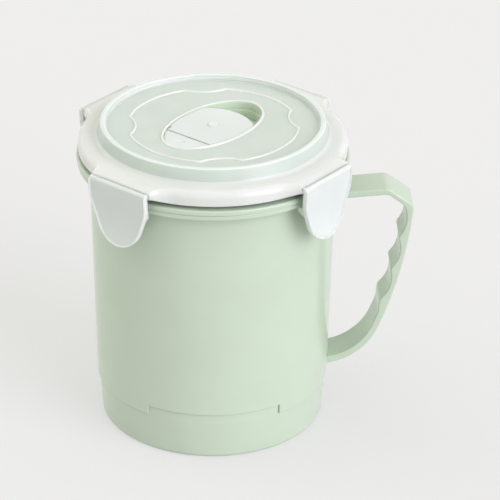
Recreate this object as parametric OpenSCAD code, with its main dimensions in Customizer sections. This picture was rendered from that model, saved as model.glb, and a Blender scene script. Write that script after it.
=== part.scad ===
// Microwave steamer mug: a double-walled cup with a strap handle and a vented snap lid with four clips.
// Millimetres, +Z up. The mug stands on z = 0 about the Z axis, and the handle points along +X.

/* [Mug] */
// Outer radius of the jacket just under the rim band
jacket_top_radius = 51.6; // [50:0.2:54]
// Outer radius of the jacket at its lower edge
jacket_low_radius = 49.4; // [48:0.2:51]
// Height of the underside of the rim band
band_height = 116.4; // [108:0.4:124]
// Wall of the jacket
jacket_wall = 2; // [1.6:0.1:2.4]
// Wall of the inner cup
cup_wall = 2; // [1.6:0.1:2.4]
// Air gap between the cup and the jacket
air_gap = 0.9; // [0.6:0.1:1.2]
// Thickness of the cup's floor
floor_thickness = 3; // [2:0.2:4]
// Rounding between the cup's floor and its wall
cup_corner_radius = 9; // [5:0.5:14]

/* [Foot] */
// Height of the foot below the jacket
foot_height = 17.4; // [14:0.2:20]
// Rise of the two foot tabs into the notches of the jacket
tab_rise = 4.2; // [2:0.2:8]
// Half of the angle that one tab spans
tab_half_angle = 34; // [20:1:45]
// Clearance of a tab in its notch
tab_clearance = 0.2; // [0.1:0.05:0.4]
// How far the foot is set back from the jacket's face
foot_set_back = 0.8; // [0.4:0.1:1.4]
// How much the foot narrows towards its lower edge
foot_draft = 1; // [0.4:0.1:2]
// Rounding of the foot's lower edge
foot_edge_radius = 1.6; // [1:0.2:3]
// Width of the ring that the mug stands on
foot_ring_width = 4; // [2:0.5:7]
// Depth of the hollow under the base
base_hollow = 2.2; // [1:0.2:4]

/* [Rim] */
// How far the rim band stands out from the jacket
band_overhang = 5.2; // [4.4:0.1:6]
// Height of the band, half of it on the jacket and half on the cup
band_depth = 4.4; // [3.6:0.2:5.2]
// How far the cup's half of the band stands out over the jacket's half
band_step = 0.4; // [0.2:0.1:0.8]
// Height of the sealing rim above the band
rim_rise = 3.9; // [3.2:0.1:5]
// Width of the sealing rim
rim_width = 3.4; // [2.6:0.2:4]

/* [Handle] */
// Width of the strap
strap_width = 16.4; // [12:0.2:20]
// Drop from the rim band to the top of the upper arm
arm_drop = 12.5; // [8:0.5:18]
// Rise of the upper arm from the jacket to its knee
arm_rise = 2.3; // [0:0.1:4]
// Thickness of the upper arm
arm_thickness = 2.8; // [2:0.1:3.2]
// Reach of the knee from the jacket
knee_reach = 21.5; // [16:0.5:24]
// Rounding of the knee's outer line
knee_radius = 5; // [3:0.5:8]
// Reach of the outer corner from the jacket
corner_reach = 32.5; // [30:0.5:36]
// Drop from the knee to the outer corner
corner_drop = 8; // [6:0.5:10]
// Rounding of the corner's outer line
corner_radius = 4; // [2:0.5:6]
// Rounding of the corner's inner line
inner_corner_radius = 6; // [3:0.5:7]
// Lean of the grip from upright at the outer corner
grip_lean = 4.4; // [2:0.2:8]
// Radius of the long bow of the grip
grip_radius = 198; // [170:2:240]
// Length of the bowed grip
grip_length = 60; // [54:1:62]
// Thickness of the grip at its ridges
grip_thickness = 4.7; // [4:0.1:5.6]
// Thickness of the grip at the bottom of a finger groove
groove_thickness = 2.4; // [2:0.1:3.2]
// Radius of a finger groove
groove_radius = 14; // [11:0.5:18]
// Spacing of the finger grooves along the grip
groove_spacing = 15.7; // [14:0.1:16.4]
// Length over which the last ridge runs out into the curve below
ridge_run = 6; // [4:0.5:7]
// Outer radius of the curve below the grip
lower_radius = 28.2; // [26:0.2:31]
// Thickness of the curve below the grip
lower_thickness = 3; // [2.4:0.1:3.6]

/* [Lid] */
// Angle by which the lid is turned on the mug
lid_turn = 4.6; // [0:0.2:10]
// How far the lid's skirt stays inside the rim band
lid_inset = 0.8; // [0.4:0.1:1.4]
// Gap between the skirt's lower edge and the rim band
skirt_gap = 1.6; // [0.8:0.1:2.4]
// Wall of the skirt
skirt_wall = 2.2; // [1.8:0.1:2.6]
// Wall of the lid's shoulder and panel
lid_wall = 1.8; // [1.4:0.1:2.2]
// Rounding of the shoulder's outer edge
shoulder_radius = 3; // [2:0.2:4]
// Clearance of the plug wall inside the cup
plug_clearance = 0.5; // [0.3:0.05:0.8]
// Wall of the plug inside the cup
plug_wall = 1.8; // [1.4:0.1:2.2]
// Depth of the plug wall below the sealing rim
plug_depth = 3; // [1.5:0.5:6]
// Rise of the ring above the shoulder
ring_rise = 6.2; // [5:0.2:8]
// Width of the ring's top
ring_width = 2.3; // [1.8:0.1:2.8]
// Drop from the ring's top to the panel
panel_drop = 2.6; // [1.6:0.2:3.6]
// Radius of the scalloped line on the panel
scallop_radius = 35.5; // [34:0.5:38]
// Radius of the bites out of the scalloped line
bite_radius = 17; // [12:0.5:20]
// Depth of the bites
bite_depth = 3.4; // [2:0.2:4.4]
// Width of the scalloped line
scallop_width = 1; // [0.6:0.1:1.4]
// Height of the scalloped line
scallop_height = 0.6; // [0.3:0.1:1]
// Height of the seal between the sealing rim and the shoulder
seal_height = 2.1; // [1.6:0.1:3]
// Clearance of the seal in its channel
seal_clearance = 0.1; // [0.05:0.05:0.3]

/* [Clips] */
// Width of a clip and of its lug
clip_width = 29.8; // [28:0.2:32]
// Length of a clip below its hinge line
clip_length = 26; // [24:0.2:29]
// Length of a clip's straight sides
clip_straight = 8.4; // [7:0.2:10]
// Radius of a clip's end
clip_end_radius = 12; // [10.5:0.1:12.6]
// Lean of a clip's upper half towards the mug
clip_lean = 3.5; // [2:0.5:6]
// Distance from the hinge line to the start of the outward flare
flare_start = 14; // [10:0.5:15]
// Radius of the flare that gives a fingertip hold
flare_radius = 44; // [34:1:60]
// Thickness of a clip
clip_wall = 1.6; // [1.2:0.1:2]
// Width of the bead along a clip's edge
bead_width = 1.6; // [1:0.1:2.4]
// Height of the bead
bead_height = 0.8; // [0.4:0.1:1.2]
// Rounding between a lug's ends and the skirt
lug_fillet = 3; // [1.5:0.5:4]
// Reach of the hinge line from the skirt
hinge_reach = 3.5; // [3.2:0.1:4.5]
// Radius of a clip's hinge edge
hinge_radius = 1.3; // [1.1:0.1:1.5]
// Clearance of a hinge edge in its seat
hinge_clearance = 0.3; // [0.2:0.05:0.4]
// Drop from the shoulder's top to the hinge line
hinge_drop = 2.5; // [2:0.1:2.8]
// Width of a clip's hook
hook_width = 22.4; // [18:0.4:26]
// Overlap of a clip's hook under the rim band
hook_overlap = 3; // [2:0.2:3.6]
// Height of the hook at its tip
hook_height = 2.2; // [1.6:0.2:3]
// Gap between the hook and the rim band
hook_gap = 0.3; // [0.2:0.05:0.5]

/* [Vent] */
// Direction of the vent on the lid
vent_angle = 45; // [0:5:90]
// Length of the oval well
well_length = 52.6; // [50:0.2:56]
// Width of the oval well
well_width = 29.8; // [28:0.2:32]
// Width of the lip around the well
lip_width = 1.3; // [1:0.1:1.6]
// Height of the lip above the panel
lip_height = 0.7; // [0.3:0.1:1]
// Depth of the well below the panel
well_depth = 3.4; // [3:0.1:4]
// Wall of the well
well_wall = 1.4; // [1:0.1:1.8]
// Depth of the finger pocket below the panel
pocket_depth = 7; // [6:0.2:9]
// Distance from the middle of the vent to the pocket's inner wall
pocket_start = 9; // [8:0.2:10]
// Wall of the finger pocket
pocket_wall = 0.9; // [0.7:0.1:1.4]
// Distance from the middle of the vent to the fold line
fold_distance = 14.4; // [13:0.2:16]
// Distance from the middle of the vent to the flap's free end
flap_reach = 15.2; // [14:0.2:16.4]
// Radius of the flap's free end
flap_end_radius = 20; // [17:0.5:24]
// Thickness of the flap
flap_wall = 1.5; // [1.2:0.1:1.6]
// Clearance around the flap
flap_clearance = 0.4; // [0.3:0.05:0.6]
// Height of the flap's top above the panel
flap_rise = 0.2; // [0:0.1:0.4]
// Radius of the rounded edge at the fold line
fold_radius = 0.9; // [0.85:0.05:1]
// Clearance of that edge in its seat
fold_clearance = 0.3; // [0.2:0.05:0.4]
// Length of the relief at each end of the fold line, which clears the lip as the flap lifts
relief_length = 2; // [1.8:0.2:3]
// Width of that relief
relief_width = 0.5; // [0.4:0.1:0.8]
// How far the fixed end lies below the flap's top
anchor_drop = 0.4; // [0.3:0.05:0.6]
// Distance from the fold line to the fixed end's peg
peg_distance = 6.4; // [5.6:0.2:7]
// Radius of the peg
peg_radius = 1.6; // [1.2:0.1:1.8]
// Radius of the steam hole
steam_hole_radius = 3; // [2.4:0.1:3.4]
// Radius of the stopper's disc under the flap
stopper_radius = 5.6; // [5:0.2:6.4]
// Radius of the stopper's stem through the flap
stem_radius = 1.5; // [1:0.1:1.8]
// Gap between the stopper's disc and the floor of the well
stopper_gap = 0.2; // [0.1:0.05:0.3]
// Clearance of pins and stems in their holes
pin_clearance = 0.2; // [0.1:0.05:0.3]

/* [Hidden] */
$fn = 72;
cut = 1;
embed = 0.3;
arc_steps = 5;

function mix(a, b, t) = a + (b - a) * t;
function jacket_outer(z) =
    mix(jacket_low_radius, jacket_top_radius, (z - foot_height) / (band_height - foot_height));
function jacket_inner(z) = jacket_outer(z) - jacket_wall;
function cup_outer(z) = jacket_inner(z) - air_gap;
function cup_inner(z) = cup_outer(z) - cup_wall;
function polar(r, angle) = r * [cos(angle), sin(angle)];
function arc(centre, r, from, to, steps) =
    [for (i = [0 : steps]) centre + polar(r, mix(from, to, i / steps))];
function unit(v) = v / norm(v);
function heading(v) = atan2(v[1], v[0]);
function shortest(turn) = turn > 180 ? turn - 360 : turn < -180 ? turn + 360 : turn;

// The arc of radius r that rounds the corner b of the path a, b, c
function rounded(a, b, c, r) =
    let (u = unit(a - b), v = unit(c - b), half = acos(u * v) / 2)
    let (centre = b + r / sin(half) * unit(u + v))
    let (from = heading(b + r / tan(half) * u - centre), to = heading(b + r / tan(half) * v - centre))
    arc(centre, r, from, from + shortest(to - from), arc_steps);

// Heights from the foot to the ring on the lid
foot_top_radius = jacket_low_radius - foot_set_back;
foot_low_radius = foot_top_radius - foot_draft;
cup_floor_z = base_hollow + floor_thickness;
seam_z = band_height + band_depth / 2;
band_top_z = band_height + band_depth;
rim_z = band_top_z + rim_rise;
band_radius = jacket_top_radius + band_overhang;
rim_inner_radius = cup_inner(band_height);
rim_outer_radius = rim_inner_radius + rim_width;
rim_edge = 0.5;
cup_shoulder = 2;

skirt_z = band_top_z + skirt_gap;
lid_radius = band_radius - lid_inset;
skirt_inner_radius = lid_radius - skirt_wall;
plug_radius = rim_inner_radius - plug_clearance;
plug_inner_radius = plug_radius - plug_wall;
channel_z = rim_z + seal_height;
shoulder_z = channel_z + lid_wall;
ring_z = shoulder_z + ring_rise;
panel_z = ring_z - panel_drop;
panel_under_z = panel_z - lid_wall;
ring_outer_radius = plug_inner_radius + ring_width;
ring_edge = 0.6;
ring_draft = 1.3;
ring_fillet = 1.2;

// The strap's outer line in the plane of the handle: arm, knee, corner, bowed grip and lower curve
arm_root_z = band_height - arm_drop;
knee = [jacket_top_radius + knee_reach, arm_root_z + arm_rise];
corner = [jacket_top_radius + corner_reach, knee[1] - corner_drop];
grip_centre = corner - polar(grip_radius, -grip_lean);
function grip_angle(distance) = -grip_lean - distance / grip_radius * 180 / PI;
grip_end_angle = grip_angle(grip_length);
lower_centre = grip_centre + polar(grip_radius - lower_radius, grip_end_angle);
root_x = jacket_low_radius - jacket_wall;
root_angle = -acos((root_x - lower_centre[0]) / lower_radius);
root_inner_angle = -acos((root_x - lower_centre[0]) / (lower_radius - lower_thickness));
grip_steps = 12;
lower_steps = 12;
groove_count = 3;
first_groove = groove_spacing / 2;
last_ridge = groove_count * groove_spacing;
last_ridge_angle = grip_angle(last_ridge);

// The clip's hinge line, in a frame whose X points out through the clip
hinge_x = lid_radius + hinge_reach;
hinge_z = shoulder_z - hinge_drop;
lug_grip = 0.4;
lug_x = hinge_x - hinge_radius + lug_grip;
lug_half_depth = 1.5;
lug_lip = 1.1;
lug_lip_drop = 0.1;
face_set_back = 0.2;
clip_face_x = hinge_x + hinge_radius - face_set_back;
clip_depth = 8;
flare_sweep = (clip_length - flare_start) / flare_radius * 180 / PI + clip_lean;
clip_angles = [45, 135, 225, 315];
hook_z = band_height - hook_gap;
hook_x = band_radius - hook_overlap;
hook_slope = 2.6;
hook_tip = 0.5;

// The vent, in a frame whose X points from the fixed end to the flap's free end
well_z = panel_z - well_depth;
pocket_z = panel_z - pocket_depth;
flap_z = panel_z + flap_rise;
flap_under_z = flap_z - flap_wall;
fold_z = flap_z - flap_wall / 2;
fold_x = -fold_distance;
flap_half_length = well_length / 2 - flap_clearance;
flap_half_width = well_width / 2 - flap_clearance;
fold_half_length = flap_half_width * sqrt(1 - pow(fold_distance / flap_half_length, 2)) - relief_width;
anchor_z = flap_z - anchor_drop;
seat_overlap = 0.3;
anchor_x = fold_x - fold_radius + seat_overlap;
peg_x = fold_x - peg_distance;
peg_head_rim = 1.2;
peg_head_radius = peg_radius + peg_head_rim;
peg_head_height = 1;
peg_mark_depth = 0.4;
button_rim = 0.8;
button_radius = stem_radius + button_rim;
button_height = 0.6;
nub_clearance = 0.9;
nub_radius = steam_hole_radius - nub_clearance;
nub_length = 1.2;
pocket_step = 0.5;
oval_steps = 56;

// A ring sector with a rectangular section, centred on the given direction
module sector(inner, outer, low, high, half_angle, direction) {
    rotate([0, 0, direction - half_angle])
        rotate_extrude(angle = 2 * half_angle)
            translate([inner, low])
                square([outer - inner, high - low]);
}

// Section of the cup: foot, floor, wall, upper half of the band and sealing rim
module cup_section() {
    foot_edge = [foot_low_radius - foot_edge_radius, foot_edge_radius];
    corner_z = cup_floor_z + cup_corner_radius;
    corner_centre = [cup_inner(corner_z) - cup_corner_radius, corner_z];
    wall_top_z = seam_z - cup_shoulder;
    hollow_radius = foot_edge[0] - foot_ring_width;
    polygon(concat(
        [[0, base_hollow], [hollow_radius - base_hollow, base_hollow], [hollow_radius, 0]],
        arc(foot_edge, foot_edge_radius, -90, 0, arc_steps),
        [[foot_top_radius, foot_height], [cup_outer(foot_height), foot_height],
         [cup_outer(wall_top_z), wall_top_z], [jacket_inner(seam_z) - tab_clearance, seam_z],
         [band_radius - rim_edge, seam_z], [band_radius, seam_z + rim_edge],
         [band_radius, band_top_z - rim_edge], [band_radius - rim_edge, band_top_z],
         [rim_outer_radius + rim_edge, band_top_z], [rim_outer_radius, band_top_z + rim_edge],
         [rim_outer_radius, rim_z - rim_edge], [rim_outer_radius - rim_edge, rim_z],
         [rim_inner_radius + rim_edge, rim_z], [rim_inner_radius, rim_z - rim_edge],
         [rim_inner_radius, band_height]],
        arc(corner_centre, cup_corner_radius, 0, -90, arc_steps + 2),
        [[0, cup_floor_z]]));
}

module inner_cup() {
    tab_turn = tab_half_angle - tab_clearance / foot_top_radius * 180 / PI;
    tab_top = foot_height + tab_rise - tab_clearance;
    color("#b7c8ab") {
        rotate_extrude()
            cup_section();
        for (side = [-90, 90])
            sector(cup_outer(foot_height) - embed, foot_top_radius,
                   foot_height - embed, tab_top, tab_turn, side);
    }
}

// The strap seen from the side, with its finger grooves cut out
module strap_section() {
    root = [root_x, arm_root_z];
    corner_next = corner + polar(corner_radius, -90 - grip_lean);
    inner_radius = grip_radius - grip_thickness;
    arm_under = [root_x - cut, arm_root_z - arm_thickness];
    knee_under = knee - [0, arm_thickness];
    ridge_top = grip_centre + polar(inner_radius, -grip_lean);
    ridge_next = grip_centre + polar(inner_radius, last_ridge_angle);
    difference() {
        polygon(concat(
            [root],
            rounded(root, knee, corner, knee_radius),
            rounded(knee, corner, corner_next, corner_radius),
            arc(grip_centre, grip_radius, grip_angle(corner_radius), grip_end_angle, grip_steps),
            arc(lower_centre, lower_radius, grip_end_angle, root_angle, lower_steps)));
        polygon(concat(
            [arm_under],
            rounded(arm_under, knee_under, ridge_top, knee_radius),
            rounded(knee_under, ridge_top, ridge_next, inner_corner_radius),
            arc(grip_centre, inner_radius, grip_angle(inner_corner_radius), last_ridge_angle, grip_steps),
            arc(grip_centre, grip_radius - lower_thickness, grip_angle(last_ridge + ridge_run),
                grip_end_angle, arc_steps),
            arc(lower_centre, lower_radius - lower_thickness, grip_end_angle, root_inner_angle,
                lower_steps),
            [[root_x - cut, lower_centre[1]]]));
        intersection() {
            polygon(concat(
                arc(grip_centre, grip_radius, -grip_lean, last_ridge_angle, grip_steps),
                arc(grip_centre, inner_radius - cut, last_ridge_angle, -grip_lean, grip_steps)));
            for (i = [0 : groove_count - 1])
                translate(grip_centre + polar(grip_radius - groove_thickness - groove_radius,
                                              grip_angle(first_groove + i * groove_spacing)))
                    circle(groove_radius);
        }
    }
}

module handle() {
    difference() {
        rotate([90, 0, 0])
            linear_extrude(strap_width, center = true)
                strap_section();
        cylinder(r1 = jacket_outer(0) - jacket_wall / 2, r2 = jacket_outer(band_height) - jacket_wall / 2,
                 h = band_height);
    }
}

module outer_jacket() {
    notch_top = foot_height + tab_rise;
    half_band_radius = band_radius - band_step;
    color("#b3c4a6") {
        difference() {
            rotate_extrude()
                polygon([
                    [jacket_inner(foot_height), foot_height], [jacket_outer(foot_height), foot_height],
                    [jacket_outer(band_height), band_height],
                    [half_band_radius - rim_edge, band_height],
                    [half_band_radius, band_height + rim_edge],
                    [half_band_radius, seam_z - rim_edge], [half_band_radius - rim_edge, seam_z],
                    [jacket_inner(seam_z), seam_z]]);
            for (side = [-90, 90])
                sector(jacket_inner(foot_height) - cut, jacket_outer(foot_height) + cut,
                       foot_height - cut, notch_top, tab_half_angle, side);
        }
        handle();
    }
}

// An oval with the given half length and half width
module oval(half_length, half_width) {
    polygon([for (i = [0 : oval_steps - 1])
        [half_length * cos(i * 360 / oval_steps), half_width * sin(i * 360 / oval_steps)]]);
}

// The well's outline, grown outwards by the given margin
module well_outline(margin) {
    oval(well_length / 2 + margin, well_width / 2 + margin);
}

// The part of the well's outline that lies beyond the given distance along the vent
module well_end(margin, start) {
    intersection() {
        well_outline(margin);
        translate([start, -well_width])
            square([well_length, 2 * well_width]);
    }
}

// Section of the lid without its vent and lugs
module lid_section() {
    wall_foot = ring_outer_radius + ring_draft;
    shoulder_centre = [lid_radius - shoulder_radius, shoulder_z - shoulder_radius];
    polygon(concat(
        [[0, panel_z], [plug_inner_radius - ring_edge, panel_z],
         [plug_inner_radius, panel_z + ring_edge],
         [plug_inner_radius, ring_z - ring_edge], [plug_inner_radius + ring_edge, ring_z],
         [ring_outer_radius - ring_edge, ring_z], [ring_outer_radius, ring_z - ring_edge],
         [wall_foot, shoulder_z + ring_fillet], [wall_foot + ring_fillet, shoulder_z]],
        arc(shoulder_centre, shoulder_radius, 90, 0, arc_steps),
        [[lid_radius, skirt_z], [skirt_inner_radius, skirt_z], [skirt_inner_radius, channel_z],
         [plug_radius, channel_z], [plug_radius, rim_z - plug_depth],
         [plug_inner_radius, rim_z - plug_depth], [plug_inner_radius, panel_under_z],
         [0, panel_under_z]]));
}

// The scalloped line: a circle with four bites, the given distance outside its middle line
module scallop_outline(margin) {
    difference() {
        circle(scallop_radius + margin);
        for (direction = [0 : 90 : 270])
            rotate(direction)
                translate([scallop_radius - bite_depth + bite_radius, 0])
                    circle(bite_radius - margin);
    }
}

// A lug seen from above: a straight ledge on the skirt with rounded-in ends
module lug_plan() {
    half = clip_width / 2;
    seat_radius = lid_radius - embed;
    fillet_y = half + lug_fillet;
    fillet_centre = [sqrt(pow(seat_radius + lug_fillet, 2) - pow(fillet_y, 2)), fillet_y];
    fillet_end = 180 + heading(fillet_centre);
    inner_x = fillet_centre[0] - lug_fillet - skirt_wall;
    end_points = arc(fillet_centre, lug_fillet, 270, fillet_end, arc_steps);
    polygon(concat(
        [[lug_x, -half], [lug_x, half]],
        end_points,
        [[inner_x, fillet_y - lug_fillet], [inner_x, lug_fillet - fillet_y]],
        [for (i = [len(end_points) - 1 : -1 : 0]) [end_points[i][0], -end_points[i][1]]]));
}

// A lug seen from its end: level with the shoulder inside, down to the hinge edge outside
module lug_profile() {
    polygon([[0, hinge_z - lug_half_depth], [lug_x, hinge_z - lug_half_depth], [lug_x, hinge_z + lug_lip],
             [lid_radius - shoulder_radius, shoulder_z - lug_lip_drop], [0, shoulder_z - lug_lip_drop]]);
}

// One lug, which carries a clip
module lug() {
    difference() {
        intersection() {
            translate([0, 0, hinge_z - lug_half_depth])
                linear_extrude(shoulder_z - hinge_z + lug_half_depth)
                    lug_plan();
            rotate([90, 0, 0])
                linear_extrude(2 * clip_width, center = true)
                    lug_profile();
        }
        translate([0, 0, hinge_z - lug_half_depth - cut])
            cylinder(r = lid_radius - skirt_wall / 2, h = shoulder_z - hinge_z + lug_half_depth + 2 * cut);
    }
}

// The rounded hinge edge of a clip, or its seat when a clearance is given
module hinge_edge(clearance, length) {
    translate([hinge_x, 0, hinge_z])
        rotate([90, 0, 0])
            cylinder(r = hinge_radius + clearance, h = length, center = true);
}

module well_shell() {
    translate([0, 0, well_z - well_wall])
        linear_extrude(panel_z + lip_height - well_z + well_wall)
            well_outline(lip_width);
    translate([0, 0, pocket_z - pocket_wall])
        linear_extrude(well_z - pocket_z + pocket_wall)
            well_end(pocket_wall, pocket_start - pocket_wall);
}

module well_cavity() {
    translate([0, 0, well_z])
        linear_extrude(well_depth + lip_height + cut)
            well_outline(0);
    translate([0, 0, pocket_z])
        linear_extrude(pocket_depth)
            well_end(-pocket_step, pocket_start);
    translate([0, 0, well_z - well_wall - cut])
        cylinder(r = steam_hole_radius, h = well_wall + 2 * cut);
    translate([peg_x, 0, well_z - well_wall - cut])
        cylinder(r = peg_radius + pin_clearance, h = well_wall + 2 * cut);
}

module lid() {
    color("#e6ebe4", 0.7)
        rotate([0, 0, lid_turn])
            difference() {
                union() {
                    rotate_extrude()
                        lid_section();
                    translate([0, 0, panel_z - embed])
                        linear_extrude(scallop_height + embed)
                            difference() {
                                scallop_outline(scallop_width / 2);
                                scallop_outline(-scallop_width / 2);
                            }
                    rotate([0, 0, vent_angle])
                        well_shell();
                    for (direction = clip_angles)
                        rotate([0, 0, direction])
                            lug();
                }
                rotate([0, 0, vent_angle])
                    well_cavity();
                for (direction = clip_angles)
                    rotate([0, 0, direction])
                        hinge_edge(hinge_clearance, clip_width + 2 * cut);
            }
}

module seal_ring() {
    inner = plug_radius + seal_clearance;
    outer = skirt_inner_radius - seal_clearance;
    lip = seal_height / 2;
    color("#f4f4ef")
        rotate_extrude()
            polygon([[inner, rim_z + lip / 2], [inner + lip / 2, rim_z],
                     [rim_outer_radius + lip / 2, rim_z], [outer, rim_z + lip],
                     [outer, channel_z], [inner, channel_z]]);
}

// A clip's outline seen from outside, hinge line at the top, drawn in by the given margin
module clip_outline(margin) {
    half = clip_width / 2 - margin;
    radius = clip_end_radius - margin;
    centre = [0, clip_end_radius - clip_length];
    side = [half, -clip_straight];
    towards = atan2(side[1] - centre[1], side[0]);
    tangent = towards - acos(radius / norm(side - centre));
    polygon(concat(
        [[-half, -margin], [-half, side[1]]],
        arc(centre, radius, 180 - tangent, 360 + tangent, 3 * arc_steps),
        [side, [half, -margin]]));
}

// A clip seen from its end, between two depths measured outwards from its outer face
module clip_profile(low, high) {
    face = [clip_face_x, hinge_z];
    flare_top = face + polar(flare_start, 270 - clip_lean);
    flare_centre = flare_top + polar(flare_radius, -clip_lean);
    start = 180 - clip_lean;
    polygon(concat(
        [face + [low, 0], face + [high, 0]],
        arc(flare_centre, flare_radius - high, start, start + flare_sweep, 2 * arc_steps),
        arc(flare_centre, flare_radius - low, start + flare_sweep, start, 2 * arc_steps)));
}

// The given outline of a clip, bent to the clip's profile
module clip_layer(margin, low, high) {
    intersection() {
        translate([clip_face_x - clip_depth / 2, 0, hinge_z])
            rotate([90, 0, 90])
                linear_extrude(clip_depth)
                    clip_outline(margin);
        rotate([90, 0, 0])
            linear_extrude(clip_width + 2 * cut, center = true)
                clip_profile(low, high);
    }
}

// A clip whose X axis points out of the mug
module clip_shape() {
    back_x = clip_face_x - clip_wall;
    difference() {
        clip_layer(0, -clip_wall, bead_height);
        clip_layer(bead_width, 0, bead_height + cut);
    }
    hinge_edge(0, clip_width);
    rotate([90, 0, 0])
        linear_extrude(hook_width, center = true)
            polygon([[hook_x, hook_z - hook_height], [hook_x, hook_z - hook_tip],
                     [hook_x + hook_tip, hook_z], [back_x, hook_z],
                     [back_x - embed, hook_z - hook_height - hook_slope]]);
}

module clip(direction) {
    color("#e9efe9", 0.7)
        rotate([0, 0, lid_turn + direction])
            clip_shape();
}

module clip_front_left() {
    clip(225);
}

module clip_front_right() {
    clip(315);
}

module clip_back_left() {
    clip(135);
}

module clip_back_right() {
    clip(45);
}

module vent_anchor() {
    color("#dfe7df", 0.8)
        rotate([0, 0, lid_turn + vent_angle])
            difference() {
                union() {
                    translate([0, 0, well_z])
                        linear_extrude(anchor_z - well_z)
                            mirror([1, 0])
                                well_end(-flap_clearance, -anchor_x);
                    translate([peg_x, 0, well_z - well_wall - peg_head_height])
                        cylinder(r = peg_radius, h = well_wall + peg_head_height + embed);
                    translate([peg_x, 0, well_z - well_wall - peg_head_height])
                        cylinder(r = peg_head_radius, h = peg_head_height);
                }
                translate([fold_x, 0, fold_z])
                    rotate([90, 0, 0])
                        cylinder(r = fold_radius + fold_clearance, h = well_width, center = true);
                translate([peg_x, 0, anchor_z - peg_mark_depth])
                    cylinder(r = peg_radius, h = peg_mark_depth + cut);
            }
}

// The flap seen from above, with its corners taken off at the ends of the fold line
module flap_outline() {
    difference() {
        intersection() {
            well_end(-flap_clearance, fold_x);
            translate([flap_reach - flap_end_radius, 0])
                circle(flap_end_radius);
        }
        for (side = [0, 1])
            mirror([0, side])
                translate([fold_x - cut, fold_half_length])
                    square([relief_length + cut, well_width]);
    }
}

module vent_flap() {
    color("#eef2ec", 0.8)
        rotate([0, 0, lid_turn + vent_angle])
            difference() {
                union() {
                    translate([0, 0, flap_under_z])
                        linear_extrude(flap_wall)
                            flap_outline();
                    translate([fold_x, 0, fold_z])
                        rotate([90, 0, 0])
                            cylinder(r = fold_radius, h = 2 * fold_half_length, center = true);
                }
                translate([0, 0, flap_under_z - cut])
                    cylinder(r = stem_radius + pin_clearance, h = flap_wall + 2 * cut);
            }
}

module vent_plug() {
    color("#f6f6f2")
        rotate([0, 0, lid_turn + vent_angle]) {
            translate([0, 0, well_z + stopper_gap])
                cylinder(r = stopper_radius, h = flap_under_z - well_z - stopper_gap);
            translate([0, 0, well_z - nub_length])
                cylinder(r = nub_radius, h = nub_length + stopper_gap + embed);
            translate([0, 0, flap_under_z - embed])
                cylinder(r = stem_radius, h = flap_wall + 2 * embed);
            translate([0, 0, flap_z])
                cylinder(r = button_radius, h = button_height);
        }
}

inner_cup();
outer_jacket();
lid();
seal_ring();
clip_front_left();
clip_front_right();
clip_back_left();
clip_back_right();
vent_anchor();
vent_flap();
vent_plug();
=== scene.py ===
from math import acos, atan2, cos, degrees, pi, radians, sin, sqrt, tan

import bmesh
import bpy
from mathutils import Matrix, Vector


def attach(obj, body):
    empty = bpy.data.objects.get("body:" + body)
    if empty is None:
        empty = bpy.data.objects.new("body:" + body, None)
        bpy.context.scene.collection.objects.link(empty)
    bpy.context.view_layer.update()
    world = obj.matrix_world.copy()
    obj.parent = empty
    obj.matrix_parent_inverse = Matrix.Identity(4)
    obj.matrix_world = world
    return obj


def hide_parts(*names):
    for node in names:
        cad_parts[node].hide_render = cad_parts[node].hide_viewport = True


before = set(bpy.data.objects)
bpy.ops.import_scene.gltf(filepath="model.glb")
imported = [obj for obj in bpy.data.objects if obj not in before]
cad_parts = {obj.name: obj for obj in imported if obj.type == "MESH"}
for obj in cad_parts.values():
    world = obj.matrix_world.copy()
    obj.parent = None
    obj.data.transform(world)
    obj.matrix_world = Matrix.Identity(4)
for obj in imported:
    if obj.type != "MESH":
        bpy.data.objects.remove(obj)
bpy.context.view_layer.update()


# Inner cup: the food-side half of the double-walled mug, injection moulded in sage polypropylene.
# It carries the sealing rim, the upper half of the rim band and the foot, whose two tabs key into
# the jacket. Sizes are in millimetres, seen in section as radius and height.
SPIN_STEPS, ROUND_STEPS = 360, 5
UNDERSIDE, CUP_FLOOR, FOOT_TOP, TAB_TOP = 2.2, 5.2, 17.4, 21.5
RIM_WALL_UNDER, WALL_TOP, SEAM, BAND_TOP, RIM_TOP = 116.4, 116.6, 118.6, 120.8, 124.7
UNDERSIDE_RADIUS, STAND_INNER, STAND_OUTER, FOOT_RADIUS = 39.8, 42, 47.6, 48.6
WALL_LOW_RADIUS, WALL_TOP_RADIUS, FLANGE_RADIUS, BAND_RADIUS = 46.5, 48.7, 49.45, 56.8
FLOOR_RADIUS, FLOOR_ROUNDING, RIM_INNER, RIM_OUTER = 44.43, 9, 46.7, 50.1
TAB_DIRECTIONS, TAB_HALF_ANGLE, TAB_SIDE_GAP = (-90, 90), 34, 0.12
TAB_BLEND, TAB_MARGIN, TAB_ROUNDING, TAB_STEPS, FOOT_OUTSIDE = 0.5, 1, 0.3, 2, 48
# How close places count as touching, the same or near, and from which share a face looks along an
# axis; then the angles at which an edge is crisp enough to be rounded off or to be shaded as an edge.
TOUCHING, SAME, NEAR, FACING = 0.001, 0.01, 0.1, 0.9
CRISP_ANGLE, SHADED_ANGLE, METRES = 60, 38, 0.001


def linear(code):
    """An sRGB hex colour as linear RGBA."""
    parts = [int(code[i:i + 2], 16) / 255 for i in (1, 3, 5)]
    return [p / 12.92 if p <= 0.04045 else ((p + 0.055) / 1.055) ** 2.4 for p in parts] + [1]


def add_node(material, kind, settings, links=()):
    """A node with its settings, by attribute or socket name, and its links (socket, node, output)."""
    made = material.node_tree.nodes.new(kind)
    for name, value in settings.items():
        if name in made.inputs:
            made.inputs[name].default_value = value
        else:
            setattr(made, name, value)
    for socket, source, output in links:
        material.node_tree.links.new(source.outputs[output], made.inputs[socket])
    return made


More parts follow.
